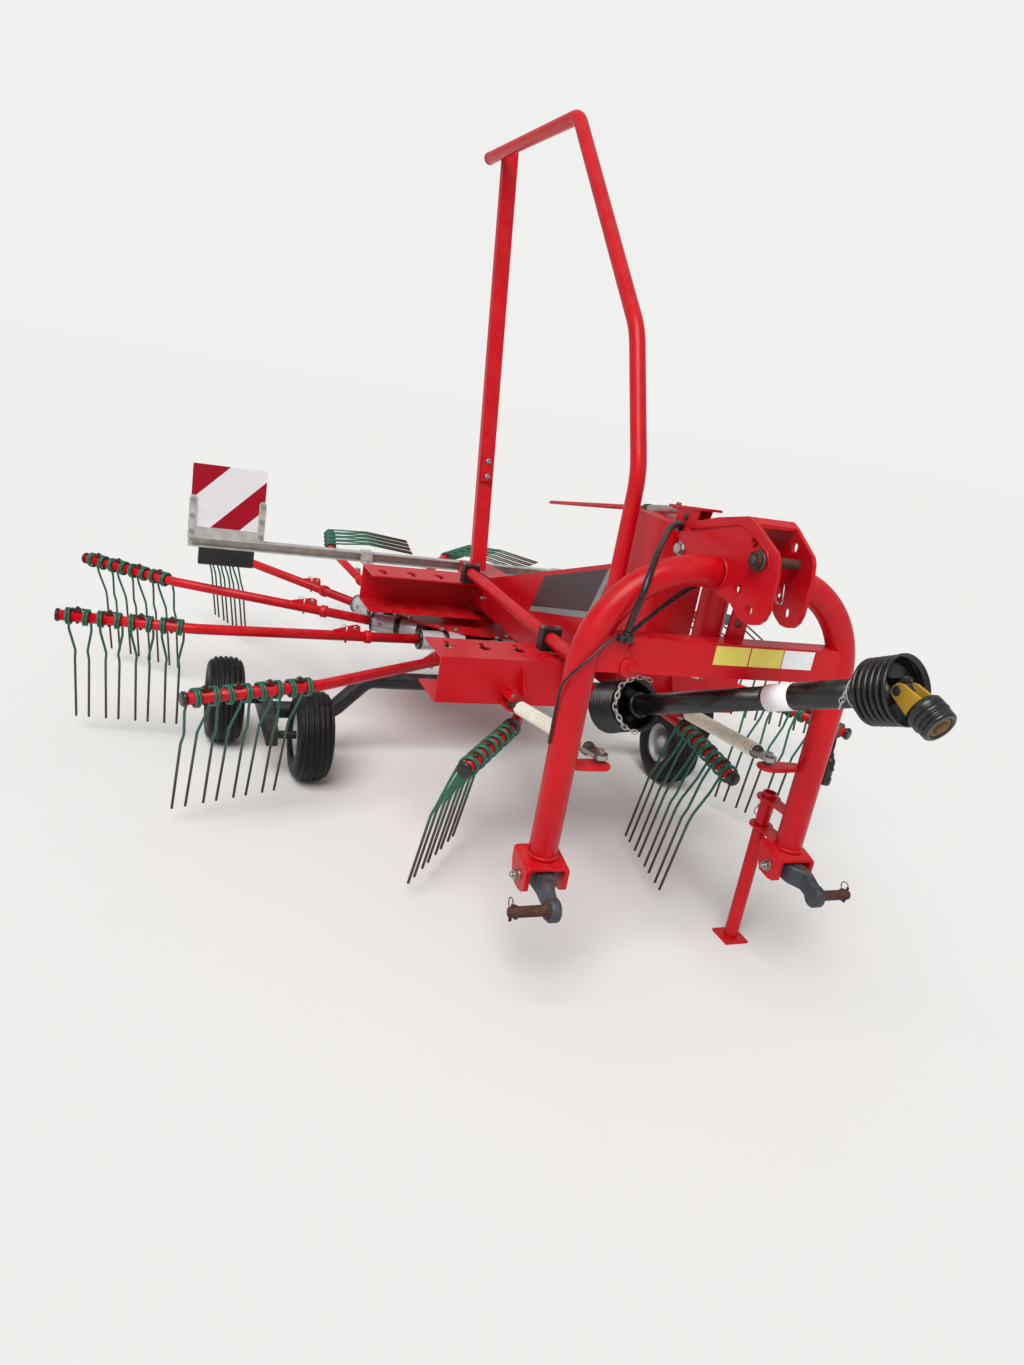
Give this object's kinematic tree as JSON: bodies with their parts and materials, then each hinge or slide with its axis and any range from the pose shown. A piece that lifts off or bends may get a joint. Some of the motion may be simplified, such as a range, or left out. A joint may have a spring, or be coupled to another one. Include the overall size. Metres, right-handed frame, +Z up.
{
  "type": "tractor-mounted rotary rake",
  "caption": "Single-rotor hay rake carried on a tractor's three-point hitch, with spring-tined arms round a hub, tandem wheels, guard hoop and drive shaft.",
  "frame": {"origin": "on the ground under the middle of the machine's length, on its centre plane", "axes": "+X forward to the tractor, +Y to the machine's left, +Z up"},
  "size_m": [4.0876, 3.2606, 2.3521],
  "materials": {
    "red_paint": "semi-gloss",
    "black_steel": "satin",
    "dark_cast": "satin",
    "galvanised": "dull",
    "rusty_steel": "dull",
    "tyre_rubber": "matte",
    "rim_paint": "satin",
    "guard_plastic": "matte",
    "yoke_yellow": "satin",
    "board_paint": "gloss",
    "lamp_lens": "gloss",
    "damper_steel": "satin"
  },
  "bodies": {
    "frame": {"main_beam": "red_paint", "gear_housing": "red_paint", "rack_front_right": "red_paint", "rack_front_left": "red_paint", "rack_rear_right": "red_paint", "rack_rear_left": "red_paint", "guard_clamps": "red_paint", "swivel_pin": "dark_cast", "height_crank": "galvanised", "undercarriage": "black_steel", "axle_beam_right": "black_steel", "axle_beam_left": "black_steel", "rear_bar": "galvanised", "warning_board": "board_paint", "tail_lamp": "lamp_lens", "drive_shaft": "guard_plastic", "drive_shaft_yoke": "yoke_yellow"},
    "headstock": {"arch_leg_right": "red_paint", "arch_leg_left": "red_paint", "crossbeam": "red_paint", "top_link_head": "red_paint", "top_link_pin": "rusty_steel", "hitch_arm_right": "dark_cast", "hitch_arm_left": "dark_cast", "hose": "guard_plastic", "leads": "guard_plastic", "lead_plug": "guard_plastic"},
    "stand": {"parking_stand": "red_paint"},
    "guard": {"guard_hoop": "red_paint"},
    "rotor": {"rotor_hub": "red_paint", "arm_sockets": "red_paint", "spring_tines_01": "red_paint", "spring_tines_02": "red_paint", "spring_tines_03": "red_paint", "spring_tines_04": "red_paint", "spring_tines_05": "red_paint", "spring_tines_06": "red_paint", "spring_tines_07": "red_paint", "spring_tines_08": "red_paint", "spring_tines_09": "red_paint", "spring_tines_10": "red_paint", "spring_tines_11": "red_paint", "spring_tines_12": "red_paint", "tine_arms": "red_paint"},
    "barrel_right": {"damper_barrel_right": "damper_steel"},
    "barrel_left": {"damper_barrel_left": "damper_steel"},
    "rod_right": {"damper_rod_right": "damper_steel"},
    "rod_left": {"damper_rod_left": "damper_steel"},
    "wheel_front_right": {"tyre_front_right": "tyre_rubber", "rim_front_right": "rim_paint"},
    "wheel_rear_right": {"tyre_rear_right": "tyre_rubber", "rim_rear_right": "rim_paint"},
    "wheel_front_left": {"tyre_front_left": "tyre_rubber", "rim_front_left": "rim_paint"},
    "wheel_rear_left": {"tyre_rear_left": "tyre_rubber", "rim_rear_left": "rim_paint"}
  },
  "joints": [
    {"name": "headstock_swivel", "type": "hinge", "parent": "frame", "child": "headstock", "pos_m": [1.3865, 0, 1], "axis": [0, 0, 1], "range_deg": [-12, 12]},
    {"name": "stand_slide", "type": "slide", "parent": "headstock", "child": "stand", "axis": [0, 0, 1], "range_m": [0, 0.3]},
    {"name": "guard_fold", "type": "hinge", "parent": "frame", "child": "guard", "pos_m": [0.2865, -0.135, 0.752], "axis": [1, 0, 0], "range_deg": [0, 90]},
    {"name": "rotor_turn", "type": "hinge", "parent": "frame", "child": "rotor", "pos_m": [-0.4135, 0, 0.48], "axis": [0, 0, 1], "continuous": true},
    {"name": "damper_swing_right", "type": "hinge", "parent": "frame", "child": "barrel_right", "pos_m": [0.9215, -0.3, 0.59], "axis": [0, 0, 1], "range_deg": [-3, 3]},
    {"name": "damper_stroke_right", "type": "slide", "parent": "barrel_right", "child": "rod_right", "axis": [0.9896, 0.0727, 0.1244], "range_m": [-0.06, 0.06]},
    {"name": "wheel_front_right_turn", "type": "hinge", "parent": "frame", "child": "wheel_front_right", "pos_m": [0.2065, -0.76, 0.165], "axis": [0, 1, 0], "continuous": true},
    {"name": "wheel_rear_right_turn", "type": "hinge", "parent": "frame", "child": "wheel_rear_right", "pos_m": [-0.1335, -1.04, 0.165], "axis": [0, 1, 0], "continuous": true},
    {"name": "damper_swing_left", "type": "hinge", "parent": "frame", "child": "barrel_left", "pos_m": [0.9215, 0.3, 0.59], "axis": [0, 0, 1], "range_deg": [-3, 3]},
    {"name": "damper_stroke_left", "type": "slide", "parent": "barrel_left", "child": "rod_left", "axis": [0.9896, -0.0727, 0.1244], "range_m": [-0.06, 0.06]},
    {"name": "wheel_front_left_turn", "type": "hinge", "parent": "frame", "child": "wheel_front_left", "pos_m": [0.2065, 0.76, 0.165], "axis": [0, 1, 0], "continuous": true},
    {"name": "wheel_rear_left_turn", "type": "hinge", "parent": "frame", "child": "wheel_rear_left", "pos_m": [-0.1335, 1.04, 0.165], "axis": [0, 1, 0], "continuous": true}
  ],
  "couplings": [
    {"joint": "damper_swing_right", "follows": "headstock_swivel", "ratio": 0.063},
    {"joint": "damper_swing_left", "follows": "headstock_swivel", "ratio": 0.063},
    {"joint": "damper_stroke_right", "follows": "headstock_swivel", "m_per_rad": 0.263},
    {"joint": "damper_stroke_left", "follows": "headstock_swivel", "m_per_rad": -0.263}
  ]
}
